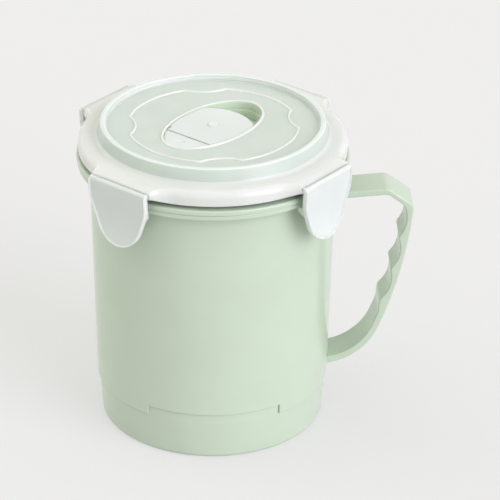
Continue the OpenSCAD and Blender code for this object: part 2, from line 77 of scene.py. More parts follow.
def round_off(bm, geom, reach, steps, affect="EDGES"):
    """Rounds edges, or the corners of a drawn line, over the given reach."""
    bmesh.ops.bevel(bm, geom=geom, affect=affect, offset=reach, segments=steps, profile=0.5, material=-1)


def turn(bm, verts, angle, axis="Z"):
    """Turns vertices about an axis through the origin, by an angle in degrees."""
    bmesh.ops.rotate(bm, verts=verts, cent=(0, 0, 0), matrix=Matrix.Rotation(radians(angle), 3, axis))


def draw_section(corners, closed):
    """A section in the XZ plane from its corners (x, z, rounding)."""
    bm = bmesh.new()
    verts = [bm.verts.new((x, 0, z)) for x, z, _ in corners]
    for start, end in zip(verts, verts[1:] + verts[:1] if closed else verts[1:]):
        bm.edges.new((start, end))
    for i, (x, z, rounding) in enumerate(corners):
        if rounding:
            here = Vector((x, z))
            before = Vector(corners[i - 1][:2]) - here
            after = Vector(corners[(i + 1) % len(corners)][:2]) - here
            round_off(bm, [verts[i]], rounding / tan(before.angle(after) / 2), ROUND_STEPS, "VERTICES")
    return bm


def lathe(bm, steps=SPIN_STEPS):
    """Spins the drawn section once round the Z axis."""
    bmesh.ops.spin(bm, geom=bm.verts[:] + bm.edges[:], cent=(0, 0, 0), axis=(0, 0, 1),
                   angle=2 * pi, steps=steps, use_merge=True)
    bmesh.ops.remove_doubles(bm, verts=bm.verts, dist=TOUCHING)
    bmesh.ops.recalc_face_normals(bm, faces=bm.faces)


def draw_out(bm, faces, vec):
    """Extrudes faces by a vector and returns their new vertices and faces. The old faces stay only
    where they close the shape."""
    own = set(faces)
    attached = any(f not in own for face in faces for e in face.edges for f in e.link_faces)
    made = bmesh.ops.extrude_face_region(bm, geom=faces)["geom"]
    if attached:
        bmesh.ops.delete(bm, geom=faces, context="FACES")
    verts = [v for v in made if isinstance(v, bmesh.types.BMVert)]
    bmesh.ops.translate(bm, verts=verts, vec=vec)
    return verts, [f for f in made if isinstance(f, bmesh.types.BMFace)]


def angle_between(place, direction):
    """How far a place lies round the axis from a direction, in degrees without a sign."""
    return abs((degrees(atan2(place.y, place.x)) - direction + 180) % 360 - 180)


def near_tab(place):
    """Whether a place lies within the angle of one of the two foot tabs."""
    return any(angle_between(place, direction) < TAB_HALF_ANGLE for direction in TAB_DIRECTIONS)


def finish_piece(name, bm, *materials):
    """The shape as an object at the origin, in metres, smooth except at its crisp edges."""
    bmesh.ops.scale(bm, vec=(METRES, METRES, METRES), verts=bm.verts)
    mesh = bpy.data.meshes.new(name)
    bm.to_mesh(mesh)
    bm.free()
    mesh.shade_smooth()
    mesh.set_sharp_from_angle(angle=radians(SHADED_ANGLE))
    for material in materials:
        mesh.materials.append(material)
    piece = bpy.data.objects.new(name, mesh)
    bpy.context.scene.collection.objects.link(piece)
    weighted = piece.modifiers.new("weighted normals", "WEIGHTED_NORMAL")
    weighted.keep_sharp = True
    return piece


cup_shape = draw_section([
    (0, UNDERSIDE, 0), (UNDERSIDE_RADIUS, UNDERSIDE, 2), (STAND_INNER, 0, 1), (STAND_OUTER, 0, 1.8),
    (FOOT_RADIUS, FOOT_TOP, 0.3), (WALL_LOW_RADIUS, FOOT_TOP, 0), (WALL_TOP_RADIUS, WALL_TOP, 0),
    (FLANGE_RADIUS, SEAM, 0), (BAND_RADIUS, SEAM, 0.5), (BAND_RADIUS, BAND_TOP, 0.8),
    (RIM_OUTER, BAND_TOP, 0.6), (RIM_OUTER, RIM_TOP, 0.7), (RIM_INNER, RIM_TOP, 0.7),
    (RIM_INNER, RIM_WALL_UNDER, 0), (FLOOR_RADIUS, CUP_FLOOR, FLOOR_ROUNDING), (0, CUP_FLOOR, 0)],
    closed=False)
lathe(cup_shape)

tab_seats = [f for f in cup_shape.faces if abs(f.calc_center_median().z - FOOT_TOP) < SAME
             and f.normal.z > FACING and near_tab(f.calc_center_median())]
raised_verts, _ = draw_out(cup_shape, tab_seats, (0, 0, TAB_TOP - FOOT_TOP))
for direction in TAB_DIRECTIONS:
    for side in (-1, 1):
        tab_end = direction + side * TAB_HALF_ANGLE
        ends = [v for v in raised_verts if angle_between(v.co, tab_end) < NEAR]
        turn(cup_shape, ends, -side * TAB_SIDE_GAP)
for vert in cup_shape.verts:
    level = FOOT_TOP - TAB_BLEND < vert.co.z < TAB_TOP + NEAR
    if level and vert.co.xy.length > FOOT_OUTSIDE and near_tab(vert.co):
        vert.co.xy = vert.co.xy.normalized() * FOOT_RADIUS
tab_edges = [e for e in cup_shape.edges if e.is_manifold and e.calc_face_angle() > radians(CRISP_ANGLE)
             and all(FOOT_TOP + TAB_MARGIN < v.co.z < TAB_TOP + NEAR and v.co.xy.length > FOOT_OUTSIDE
                     for v in e.verts)]
round_off(cup_shape, tab_edges, TAB_ROUNDING, TAB_STEPS)
bmesh.ops.recalc_face_normals(cup_shape, faces=cup_shape.faces)

# Polypropylene's patterns in metres: the length and height of a moulded face's slight waves, and how
# far light spreads inside a milky wall.
RIPPLE_SIZE, RIPPLE_HEIGHT, RIPPLE_SHARE, SPREAD = 0.009, 0.0004, 0.05, 0.002
POLYPROPYLENE_IOR, TONE_STOPS = 1.49, (0.3, 0.7)
SAGE_CLOUD, SAGE_GLOSS = 0.022, (0.15, 0.2)


def moulded_polypropylene(name, darker, lighter, cloud_size, gloss, clear=0, milky=0):
    """Moulded polypropylene: two near tones in soft clouds, a range of roughness, and the shares of
    light that go straight through and that spread inside it."""
    material = bpy.data.materials.new(name)
    material.use_nodes = True
    material.node_tree.nodes.clear()
    place = add_node(material, "ShaderNodeTexCoord", {})
    cloud = add_node(material, "ShaderNodeTexNoise", {"Scale": 1 / cloud_size, "Detail": 3},
                     [("Vector", place, "Object")])
    ripple = add_node(material, "ShaderNodeTexNoise", {"Scale": 1 / RIPPLE_SIZE, "Detail": 1},
                      [("Vector", place, "Object")])
    tone = add_node(material, "ShaderNodeValToRGB", {}, [("Fac", cloud, "Fac")])
    for element, position, code in zip(tone.color_ramp.elements, TONE_STOPS, (darker, lighter)):
        element.position = position
        element.color = linear(code)
    polish = add_node(material, "ShaderNodeMapRange", {"To Min": gloss[0], "To Max": gloss[1]},
                      [("Value", cloud, "Fac")])
    bump = add_node(material, "ShaderNodeBump", {"Strength": RIPPLE_SHARE, "Distance": RIPPLE_HEIGHT},
                    [("Height", ripple, "Fac")])
    surface = add_node(material, "ShaderNodeBsdfPrincipled",
                       {"IOR": POLYPROPYLENE_IOR, "Transmission Weight": clear, "Subsurface Weight": milky,
                        "Subsurface Radius": (1, 1, 1), "Subsurface Scale": SPREAD},
                       [("Base Color", tone, "Color"), ("Roughness", polish, "Result"),
                        ("Normal", bump, "Normal")])
    add_node(material, "ShaderNodeOutputMaterial", {}, [("Surface", surface, "BSDF")])
    return material


# Moulded polypropylene, sage: an even, half-glossy plastic with the faint cloud of its pigment and the
# very slight waviness of a moulded face, drawn 9 mm long.
sage = moulded_polypropylene("moulded_sage_polypropylene", "#c2d1bd", "#c5d4c1", SAGE_CLOUD, SAGE_GLOSS)

cup = finish_piece("cup_moulding", cup_shape, sage)
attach(cup, "mug")
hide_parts("inner_cup")


# Outer jacket: the outside of the mug, one sage polypropylene moulding with the lower half of the
# rim band and the strap handle. Its lower edge is stepped around the two foot tabs, and the strap
# has three finger grooves on the inside of its bowed grip.
BAND_UNDER, LOWER_BAND_RADIUS, NOTCH_TOP, STEP_ROUNDING = 116.4, 56.4, 21.6, 0.35
JACKET_LOW, JACKET_TOP, JACKET_WALL, JACKET_OUTSIDE = 49.4, 51.6, 2, 48.5
STRAP_WIDTH, STRAP_ROUNDING, STRAP_MIDDLE = 16.4, 0.7, 60
UPPER_ROOT, LOWER_ROOT = 49.8, 48.4
ARM_ROOT, ARM_THICKNESS, KNEE_X, KNEE_Z = 104.1, 2.8, 73.1, 106.2
GRIP_CORNER, GRIP_RADIUS, GRIP_LEAN, GRIP_LENGTH = Vector((84.1, 0, 98.2)), 198, 4.4, 60
GROOVE_SPACING, GROOVE_RADIUS, GROOVE_THICKNESS, GROOVES = 15.7, 14, 2.4, 3
LOWER_RADIUS, LOWER_THICKNESS, RIDGE_RUN = 28.2, 3, 6
KNEE_ROUNDING, CORNER_ROUNDING, RIDGE_ROUNDINGS, RUN_ROUNDING = 1.6, 1.9, (2.2, 1.1, 1.1, 1.6), 1.5
BOW_STEPS, GROOVE_STEPS, RUN_STEPS, EDGE_STEPS = 24, 16, 6, 3


def jacket_radius(z):
    """The jacket's outer radius at a height."""
    return JACKET_LOW + (JACKET_TOP - JACKET_LOW) * (z - FOOT_TOP) / (BAND_UNDER - FOOT_TOP)


def polar(radius, angle):
    """A place in the XZ plane, by distance and angle in degrees."""
    return Vector((radius * cos(radians(angle)), 0, radius * sin(radians(angle))))


def carry_round(bm, vert, centre, angle, steps, axis=(0, -1, 0)):
    """Draws an arc from a vertex, in the XZ plane unless said, and returns the vertex at its end."""
    made = bmesh.ops.spin(bm, geom=[vert], cent=centre, axis=axis, angle=radians(angle),
                          steps=steps)["geom_last"]
    return next(v for v in made if isinstance(v, bmesh.types.BMVert))


def carry_to(bm, vert, x, z):
    """Draws a straight line from a vertex and returns the vertex at its end."""
    end = bm.verts.new((x, 0, z))
    bm.edges.new((vert, end))
    return end


def combine(first, second, operation):
    """Two closed shapes joined into one, or one cut by the other."""
    pair = []
    for bm in (first, second):
        bmesh.ops.recalc_face_normals(bm, faces=bm.faces)
        mesh = bpy.data.meshes.new("blank")
        bm.to_mesh(mesh)
        bm.free()
        pair.append(bpy.data.objects.new("blank", mesh))
        bpy.context.scene.collection.objects.link(pair[-1])
    joint = pair[0].modifiers.new("joint", "BOOLEAN")
    joint.operation = operation
    joint.solver = "EXACT"
    joint.object = pair[1]
    bpy.context.view_layer.update()
    result = bmesh.new()
    result.from_object(pair[0], bpy.context.evaluated_depsgraph_get())
    for blank in pair:
        mesh = blank.data
        bpy.data.objects.remove(blank)
        bpy.data.meshes.remove(mesh)
    return result


jacket_shape = draw_section([
    (jacket_radius(NOTCH_TOP) - JACKET_WALL, NOTCH_TOP, 0), (jacket_radius(NOTCH_TOP), NOTCH_TOP, 0),
    (JACKET_TOP, BAND_UNDER, 0.8), (LOWER_BAND_RADIUS, BAND_UNDER, 0.5), (LOWER_BAND_RADIUS, SEAM, 0.5),
    (jacket_radius(SEAM) - JACKET_WALL, SEAM, 0)], closed=True)
lathe(jacket_shape)
lower_faces = [f for f in jacket_shape.faces if f.normal.z < -FACING
               and abs(f.calc_center_median().z - NOTCH_TOP) < NEAR
               and not near_tab(f.calc_center_median())]
lowered_verts, _ = draw_out(jacket_shape, lower_faces, (0, 0, FOOT_TOP - NOTCH_TOP))
narrowing = JACKET_LOW / jacket_radius(NOTCH_TOP)
bmesh.ops.scale(jacket_shape, vec=(narrowing, narrowing, 1), verts=lowered_verts)
bmesh.ops.recalc_face_normals(jacket_shape, faces=jacket_shape.faces)
step_edges = [e for e in jacket_shape.edges if e.is_manifold and e.calc_face_angle() > radians(CRISP_ANGLE)
              and all(v.co.z < NOTCH_TOP + NEAR and v.co.xy.length > JACKET_OUTSIDE for v in e.verts)]
round_off(jacket_shape, step_edges, STEP_ROUNDING, EDGE_STEPS)

# The strap's side view: the outside from the upper root over the knee and down the grip, then the
# inside, with its grooves, back to the lower root.
grip_end = -GRIP_LEAN - degrees(GRIP_LENGTH / GRIP_RADIUS)
grip_centre = GRIP_CORNER - polar(GRIP_RADIUS, -GRIP_LEAN)
lower_centre = grip_centre + polar(GRIP_RADIUS - LOWER_RADIUS, grip_end)
strap_shape = bmesh.new()
outer_root = strap_shape.verts.new((UPPER_ROOT, 0, ARM_ROOT))
knee_out = carry_to(strap_shape, outer_root, KNEE_X, KNEE_Z)
corner_out = carry_to(strap_shape, knee_out, GRIP_CORNER.x, GRIP_CORNER.z)
tip = carry_round(strap_shape, corner_out, grip_centre, grip_end + GRIP_LEAN, BOW_STEPS)
root_turn = -degrees(acos((LOWER_ROOT - lower_centre.x) / LOWER_RADIUS)) - grip_end
lower_out = carry_round(strap_shape, tip, lower_centre, root_turn, BOW_STEPS)

groove_half = degrees(GROOVE_SPACING / 2 / GRIP_RADIUS)
groove_axis = GRIP_RADIUS - GROOVE_THICKNESS - GROOVE_RADIUS
ridge_radius = (groove_axis * cos(radians(groove_half))
                + sqrt(GROOVE_RADIUS ** 2 - (groove_axis * sin(radians(groove_half))) ** 2))
groove_sweep = 2 * degrees(atan2(ridge_radius * sin(radians(groove_half)),
                                 ridge_radius * cos(radians(groove_half)) - groove_axis))
inner_root = strap_shape.verts.new((UPPER_ROOT, 0, ARM_ROOT - ARM_THICKNESS))
knee_in = carry_to(strap_shape, inner_root, KNEE_X, KNEE_Z - ARM_THICKNESS)
ridge = grip_centre + polar(ridge_radius, -GRIP_LEAN)
ridge_verts = [carry_to(strap_shape, knee_in, ridge.x, ridge.z)]
for i in range(GROOVES):
    groove_centre = grip_centre + polar(groove_axis, -GRIP_LEAN - groove_half * (2 * i + 1))
    ridge_verts.append(carry_round(strap_shape, ridge_verts[-1], groove_centre, -groove_sweep, GROOVE_STEPS))
run_angle = -GRIP_LEAN - 2 * groove_half * GROOVES - degrees(RIDGE_RUN / GRIP_RADIUS)
run_out = grip_centre + polar(GRIP_RADIUS - LOWER_THICKNESS, run_angle)
run_vert = carry_to(strap_shape, ridge_verts[-1], run_out.x, run_out.z)
tip_in = carry_round(strap_shape, run_vert, grip_centre, grip_end - run_angle, RUN_STEPS)
inner_radius = LOWER_RADIUS - LOWER_THICKNESS
inner_turn = -degrees(acos((LOWER_ROOT - lower_centre.x) / inner_radius)) - grip_end
lower_in = carry_round(strap_shape, tip_in, lower_centre, inner_turn, BOW_STEPS)
strap_shape.edges.new((outer_root, inner_root))
strap_shape.edges.new((lower_out, lower_in))
for vert, reach in ((knee_out, KNEE_ROUNDING), (corner_out, CORNER_ROUNDING), (knee_in, KNEE_ROUNDING),
                    *zip(ridge_verts, RIDGE_ROUNDINGS), (run_vert, RUN_ROUNDING)):
    round_off(strap_shape, [vert], reach, ROUND_STEPS, "VERTICES")
strap_side = bmesh.ops.contextual_create(strap_shape, geom=strap_shape.edges[:])["faces"]
bmesh.ops.translate(strap_shape, verts=strap_shape.verts, vec=(0, -STRAP_WIDTH / 2, 0))
draw_out(strap_shape, strap_side, (0, STRAP_WIDTH, 0))
bmesh.ops.recalc_face_normals(strap_shape, faces=strap_shape.faces)


def at_root(vert):
    """Whether a vertex of the strap lies in one of its two roots, inside the jacket's wall."""
    return abs(vert.co.x - (UPPER_ROOT if vert.co.z > STRAP_MIDDLE else LOWER_ROOT)) < NEAR


long_edges = [e for e in strap_shape.edges if any(abs(f.normal.y) > FACING for f in e.link_faces)
              and not all(at_root(v) for v in e.verts)]
round_off(strap_shape, long_edges, STRAP_ROUNDING, EDGE_STEPS)

jacket = finish_piece("jacket_and_handle", combine(jacket_shape, strap_shape, "UNION"), sage)
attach(jacket, "mug")
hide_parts("outer_jacket")


# Seal ring: a soft white silicone ring pressed into the channel under the lid's shoulder. It shuts
# on the cup's rim and makes the shoulder look whiter than the rest of the lid.
CHANNEL_ROOF, SEAL_INNER, SEAL_OUTER, SEAL_ROUNDING = 126.8, 46.3, 53.7, 0.3
SEAL_SEAT_INNER, SEAL_SEAT_OUTER, SEAL_INNER_LOW, SEAL_OUTER_LOW = 46.8, 50.6, 125.2, 125.75
seal_shape = draw_section([
    (SEAL_INNER, SEAL_INNER_LOW, SEAL_ROUNDING), (SEAL_SEAT_INNER, RIM_TOP, SEAL_ROUNDING),
    (SEAL_SEAT_OUTER, RIM_TOP, SEAL_ROUNDING), (SEAL_OUTER, SEAL_OUTER_LOW, SEAL_ROUNDING),
    (SEAL_OUTER, CHANNEL_ROOF, 0), (SEAL_INNER, CHANNEL_ROOF, 0)], closed=True)
lathe(seal_shape)

# Silicone rubber, white: soft matt surface with a faint dusty cloud, 6 mm across, and no sharp shine.
DUST_SIZE, SILICONE_IOR, SILICONE_GLOSS = 0.006, 1.41, (0.5, 0.62)
silicone = bpy.data.materials.new("white_silicone_rubber")
silicone.use_nodes = True
silicone.node_tree.nodes.clear()
place = add_node(silicone, "ShaderNodeTexCoord", {})
dust = add_node(silicone, "ShaderNodeTexNoise", {"Scale": 1 / DUST_SIZE, "Detail": 4},
                [("Vector", place, "Object")])
tone = add_node(silicone, "ShaderNodeValToRGB", {}, [("Fac", dust, "Fac")])
tone.color_ramp.elements[0].color = linear("#dbe0da")
tone.color_ramp.elements[1].color = linear("#e1e5e0")
matt = add_node(silicone, "ShaderNodeMapRange",
                {"To Min": SILICONE_GLOSS[0], "To Max": SILICONE_GLOSS[1]}, [("Value", dust, "Fac")])
surface = add_node(silicone, "ShaderNodeBsdfPrincipled", {"IOR": SILICONE_IOR},
                   [("Base Color", tone, "Color"), ("Roughness", matt, "Result")])
add_node(silicone, "ShaderNodeOutputMaterial", {}, [("Surface", surface, "BSDF")])

seal = finish_piece("silicone_seal", seal_shape, silicone)
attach(seal, "lid")
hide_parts("seal_ring")


# Lid: a translucent shell of natural polypropylene. A skirt and a plug wall make the channel for the
# seal, a raised ring surrounds the panel, and the panel has a scalloped line and the oval vent well.
# Four lugs on the skirt carry the clips. The lid sits 4.6 degrees round from the handle.
LID_TURN, VENT_TURN = 4.6, 49.6
PANEL_TOP, PANEL_UNDER, SHOULDER_TOP, RING_TOP = 132.2, 130.4, 128.6, 134.8
PANEL_RADIUS, RING_INNER, RING_CREST, RING_FOOT = 43.6, 44.4, 46.7, 48.35
LID_RADIUS, SKIRT_INNER, SKIRT_UNDER, PLUG_OUTER, PLUG_UNDER = 56, 53.8, 122.4, 46.2, 121.7
SCALLOP_RADIUS, BITE_RADIUS, BITE_DEPTH, BITES_AT = 35.5, 17, 3.4, (3.5, 90, 176.5, 270, 363.5)
SCALLOP_PROFILE = ((-0.6, -0.3), (-0.5, 0.3), (-0.25, 0.58), (0.25, 0.58), (0.5, 0.3), (0.6, -0.3))
SCALLOP_STEPS, BITE_STEPS = 24, 18
WELL_LENGTH, WELL_WIDTH, WELL_FLOOR, WELL_UNDER, WELL_REACH = 26.3, 14.9, 128.8, 127.4, 40
WELL_LIP_WIDTH, WELL_LIP_TOP, STEAM_HOLE = 1.3, 132.9, 3
POCKET_START, POCKET_FLOOR, POCKET_STEP = 9, 125.2, 0.5
POCKET_WALL, POCKET_UNDER, POCKET_UNDER_STEP = 0.9, 124.3, 0.4
CUT_SNAP = 0.0001
CLIP_DIRECTIONS = {"front_left": 225, "front_right": 315, "back_left": 135, "back_right": 45}
HINGE_RADIUS, HINGE_HEIGHT, SEAT_RADIUS, SEAT_ANGLES = 59.5, 126.1, 1.33, range(220, 90, -10)
HINGE_LIP_HALF_WIDTH, HINGE_LIP_END = 13.65, 0.1
SEAT_PAST_LIP, PAST_LIP_SHARES = 10, (0.2, 0.4, 0.6, 0.8)
LUG_HALF_WIDTH, LUG_FILLET, LUG_UNDER, LUG_ROUNDING = 15.05, 14, 124.6, 3.3
LUG_TOP, LUG_INNER, LUG_INNER_DEPTH, LUG_WALL, LUG_WALL_DEPTH = 128.5, 52, 1.2, 54.9, 1.3
LUG_END_UNDER, LUG_END_RISE = 122.7, 0.5
LUG_STOPS, LUG_END_SHARES = (0, 3.5, 7, 11), (0.01, 0.06, 0.13, 0.22, 0.34, 0.5, 0.72, 1)
LUG_ROOF = ((59.2, 127.46), (58.4, 127.68), (57.4, 127.98), (56.2, 128.22), (55, 128.38),
            (LUG_INNER, LUG_TOP))


def edge_ring(bm, z):
    """The open edges at a height."""
    return [e for e in bm.edges if e.is_boundary and all(abs(v.co.z - z) < SAME for v in e.verts)]


def scallop_loop(bm, margin, z):
    """The scalloped line: a circle with four bites, drawn the given distance outside its middle."""
    radius, bite = SCALLOP_RADIUS + margin, BITE_RADIUS - margin
    away = SCALLOP_RADIUS - BITE_DEPTH + BITE_RADIUS
    open_angle = degrees(acos((radius ** 2 + away ** 2 - bite ** 2) / (2 * radius * away)))
    bite_angle = degrees(acos((away ** 2 + bite ** 2 - radius ** 2) / (2 * away * bite)))
    before = set(bm.verts)
    first = radians(BITES_AT[0] + open_angle)
    vert = bm.verts.new((radius * cos(first), radius * sin(first), z))
    for before_bite, bite_at in zip(BITES_AT, BITES_AT[1:]):
        bite_centre = Vector((away * cos(radians(bite_at)), away * sin(radians(bite_at)), z))
        run = bite_at - before_bite - 2 * open_angle
        vert = carry_round(bm, vert, (0, 0, z), run, SCALLOP_STEPS, (0, 0, 1))
        vert = carry_round(bm, vert, bite_centre, -2 * bite_angle, BITE_STEPS, (0, 0, 1))
    bmesh.ops.remove_doubles(bm, verts=[v for v in bm.verts if v not in before], dist=SAME)
    loop_verts = set(bm.verts) - before
    return [e for e in bm.edges if all(v in loop_verts for v in e.verts)]


lid_shape = draw_section([
    (PANEL_RADIUS, PANEL_TOP, 0), (RING_INNER, PANEL_TOP, 0.5), (RING_INNER, RING_TOP, 0.8),
    (RING_CREST, RING_TOP, 0.8), (RING_FOOT, SHOULDER_TOP, 2.2), (LID_RADIUS, SHOULDER_TOP, 3),
    (LID_RADIUS, SKIRT_UNDER, 0.5), (SKIRT_INNER, SKIRT_UNDER, 0.5), (SKIRT_INNER, CHANNEL_ROOF, 0),
    (PLUG_OUTER, CHANNEL_ROOF, 0), (PLUG_OUTER, PLUG_UNDER, 0.5), (RING_INNER, PLUG_UNDER, 0.5),
    (RING_INNER, PANEL_UNDER, 0)], closed=False)
lathe(lid_shape)

# The well, drawn down ring by ring from the lip on the panel: how far each ring lies outside the
# well's wall, or none at the steam hole, and its height.
well_rings = ((1.15, PANEL_TOP + 0.35), (0.95, WELL_LIP_TOP - 0.1), (0.7, WELL_LIP_TOP),
              (0.45, WELL_LIP_TOP), (0.2, WELL_LIP_TOP - 0.1), (0, WELL_LIP_TOP - 0.35), (0, WELL_FLOOR),
              (None, WELL_FLOOR), (None, WELL_UNDER), (WELL_LIP_WIDTH, WELL_UNDER),
              (WELL_LIP_WIDTH, PANEL_UNDER))
size = (WELL_LENGTH + WELL_LIP_WIDTH, WELL_WIDTH + WELL_LIP_WIDTH, PANEL_TOP)
lip_foot = bmesh.ops.create_circle(lid_shape, segments=SPIN_STEPS, radius=1, cap_ends=False)["verts"]
bmesh.ops.scale(lid_shape, vec=(size[0], size[1], 1), verts=lip_foot)
bmesh.ops.translate(lid_shape, vec=(0, 0, PANEL_TOP), verts=lip_foot)
ring = list({e for v in lip_foot for e in v.link_edges})
for outside, z in well_rings:
    target = (STEAM_HOLE, STEAM_HOLE, z)
    if outside is not None:
        target = (WELL_LENGTH + outside, WELL_WIDTH + outside, z)
    made = bmesh.ops.extrude_edge_only(lid_shape, edges=ring)["geom"]
    ring = [e for e in made if isinstance(e, bmesh.types.BMEdge) and e.is_boundary]
    ring_verts = list({v for e in ring for v in e.verts})
    bmesh.ops.scale(lid_shape, vec=(target[0] / size[0], target[1] / size[1], 1), verts=ring_verts)
    bmesh.ops.translate(lid_shape, vec=(0, 0, target[2] - size[2]), verts=ring_verts)
    size = target
for sink_from, sink_start, sink_to, step in (
        (WELL_FLOOR, POCKET_START, POCKET_FLOOR, POCKET_STEP),
        (WELL_UNDER, POCKET_START - POCKET_WALL, POCKET_UNDER, POCKET_UNDER_STEP)):
    floor_faces = [f for f in lid_shape.faces if all(abs(v.co.z - sink_from) < TOUCHING for v in f.verts)]
    geom = list({g for f in floor_faces for g in (f, *f.edges, *f.verts)})
    bmesh.ops.bisect_plane(lid_shape, geom=geom, plane_co=(sink_start, 0, 0), plane_no=(1, 0, 0),
                           dist=CUT_SNAP)
    pocket = [f for f in lid_shape.faces if all(abs(v.co.z - sink_from) < TOUCHING
                                                and v.co.x > sink_start - TOUCHING for v in f.verts)]
    bmesh.ops.inset_region(lid_shape, faces=pocket, thickness=step, use_even_offset=True)
    draw_out(lid_shape, pocket, (0, 0, sink_to - sink_from))
turn(lid_shape, [v for v in lid_shape.verts if v.co.xy.length < WELL_REACH], VENT_TURN - LID_TURN)
for height in (PANEL_TOP, PANEL_UNDER):
    bmesh.ops.bridge_loops(lid_shape, edges=edge_ring(lid_shape, height))
bmesh.ops.recalc_face_normals(lid_shape, faces=lid_shape.faces)

scallop_shape = bmesh.new()
loops = [scallop_loop(scallop_shape, margin, PANEL_TOP + rise) for margin, rise in SCALLOP_PROFILE]
for start, end in zip(loops, loops[1:] + loops[:1]):
    bmesh.ops.bridge_loops(scallop_shape, edges=start + end)
lid_shape = combine(lid_shape, scallop_shape, "UNION")

seat = [Vector((HINGE_RADIUS, 0, HINGE_HEIGHT)) + polar(SEAT_RADIUS, angle) for angle in SEAT_ANGLES]
lug_roof = [Vector((x, 0, z)) for x, z in LUG_ROOF]
lug_corner = Vector((lug_roof[0].x, LUG_HALF_WIDTH))
fillet_away = LID_RADIUS + LUG_FILLET
fillet_bearing = atan2(lug_corner.y, lug_corner.x) + acos(
    (fillet_away ** 2 + lug_corner.length_squared - LUG_FILLET ** 2)
    / (2 * fillet_away * lug_corner.length))
fillet_centre = Vector((cos(fillet_bearing), sin(fillet_bearing))) * fillet_away
lug_end = LID_RADIUS * sin(fillet_bearing)


def lug_section(across):
    """A lug's outline as distance out and height: the seat of a hinge edge under a thin lip, and past
    the clip a rounded edge that runs out along a fillet to the skirt."""
    inner, wall = sqrt(LUG_INNER ** 2 - across ** 2), sqrt(LUG_WALL ** 2 - across ** 2)
    if across > LUG_HALF_WIDTH:
        reach = fillet_centre.x - sqrt(LUG_FILLET ** 2 - (fillet_centre.y - across) ** 2)
        steps = len(seat) + len(lug_roof) - 2
        edge_centre = Vector((reach - LUG_ROUNDING, 0, LUG_TOP - LUG_ROUNDING))
        edge = [edge_centre + polar(LUG_ROUNDING, 90 * i / steps) for i in range(steps + 1)]
        under = LUG_END_UNDER + LUG_END_RISE * (reach - sqrt(LID_RADIUS ** 2 - across ** 2))
        outer = [(reach, under), *[(place.x, place.z) for place in edge], (inner, LUG_TOP)]
    else:
        face = seat + lug_roof[:1]
        if across > HINGE_LIP_HALF_WIDTH:
            face = seat[:SEAT_PAST_LIP]
            face += [face[-1].lerp(lug_roof[1], share) for share in PAST_LIP_SHARES]
        outer = [(seat[0].x, LUG_UNDER), *[(place.x, place.z) for place in face]]
        for place in lug_roof[1:]:
            share = (place.x - LUG_INNER) / (lug_roof[0].x - LUG_INNER)
            outer.append((inner + share * (lug_roof[0].x - inner), place.z))
    return [(wall, outer[0][1]), *outer, (inner, LUG_TOP - LUG_INNER_DEPTH),
            (wall, LUG_TOP - LUG_WALL_DEPTH)]


lug_stops = [*LUG_STOPS, HINGE_LIP_HALF_WIDTH, HINGE_LIP_HALF_WIDTH + HINGE_LIP_END, LUG_HALF_WIDTH]
lug_stops += [LUG_HALF_WIDTH + (lug_end - LUG_HALF_WIDTH) * share for share in LUG_END_SHARES]
lug_stops = [-stop for stop in reversed(lug_stops[1:])] + lug_stops
for direction in CLIP_DIRECTIONS.values():
    lug_shape = bmesh.new()
    loops = []
    for stop in lug_stops:
        verts = [lug_shape.verts.new((x, stop, z)) for x, z in lug_section(abs(stop))]
        loops.append([lug_shape.edges.new(pair) for pair in zip(verts, verts[1:] + verts[:1])])
    for start, end in zip(loops, loops[1:]):
        bmesh.ops.bridge_loops(lug_shape, edges=start + end)
    for loop in (loops[0], loops[-1]):
        bmesh.ops.contextual_create(lug_shape, geom=loop)
    bmesh.ops.recalc_face_normals(lug_shape, faces=lug_shape.faces)
    turn(lug_shape, lug_shape.verts, direction)
    lid_shape = combine(lid_shape, lug_shape, "UNION")
turn(lid_shape, lid_shape.verts, LID_TURN)

# Natural polypropylene, thick: milky white with a satin shine and faint clouds, 14 mm across, from the
# flow of the melt. Little of what lies behind shows through it.
NATURAL_CLOUD, NATURAL_GLOSS, MILKY = 0.014, (0.2, 0.27), 0.9
natural = moulded_polypropylene("natural_polypropylene_thick_wall", "#e6e9e5", "#eaece9",
                                NATURAL_CLOUD, NATURAL_GLOSS, clear=0.1, milky=MILKY)

# Natural polypropylene, flap: the same plastic in the crest of the ring, the clips and the vent insert,
# a slightly cooler white.
natural_flap = moulded_polypropylene("natural_polypropylene_flap", "#e2e9e6", "#e6ece9",
                                     NATURAL_CLOUD, NATURAL_GLOSS, clear=0.1, milky=MILKY)

# Natural polypropylene, thin: the same plastic where the wall is thin, so that the green behind it shows
# through and tints it. Its greener tone is partly painted: the see-through green painted in. On the ring's
# wall, which is solid, the same greener, darker tone is painted shade.
natural_thin_painted_green_and_shade = moulded_polypropylene("natural_polypropylene_thin_wall_painted_green_and_shade", "#dfeae1", "#e4eee6",
                                     NATURAL_CLOUD, NATURAL_GLOSS, clear=0.25, milky=MILKY)

# Natural polypropylene, pocket: the thin wall close above the green of the cup, which colours it most. That
# green seen through it and the shade in the sunk pocket are painted into its greener, darker tone.
natural_pocket_painted_green_and_shade = moulded_polypropylene("natural_polypropylene_pocket_painted_green_and_shade", "#d5e4d0", "#d9e7d4",
                                       NATURAL_CLOUD, NATURAL_GLOSS, clear=0.05, milky=MILKY)
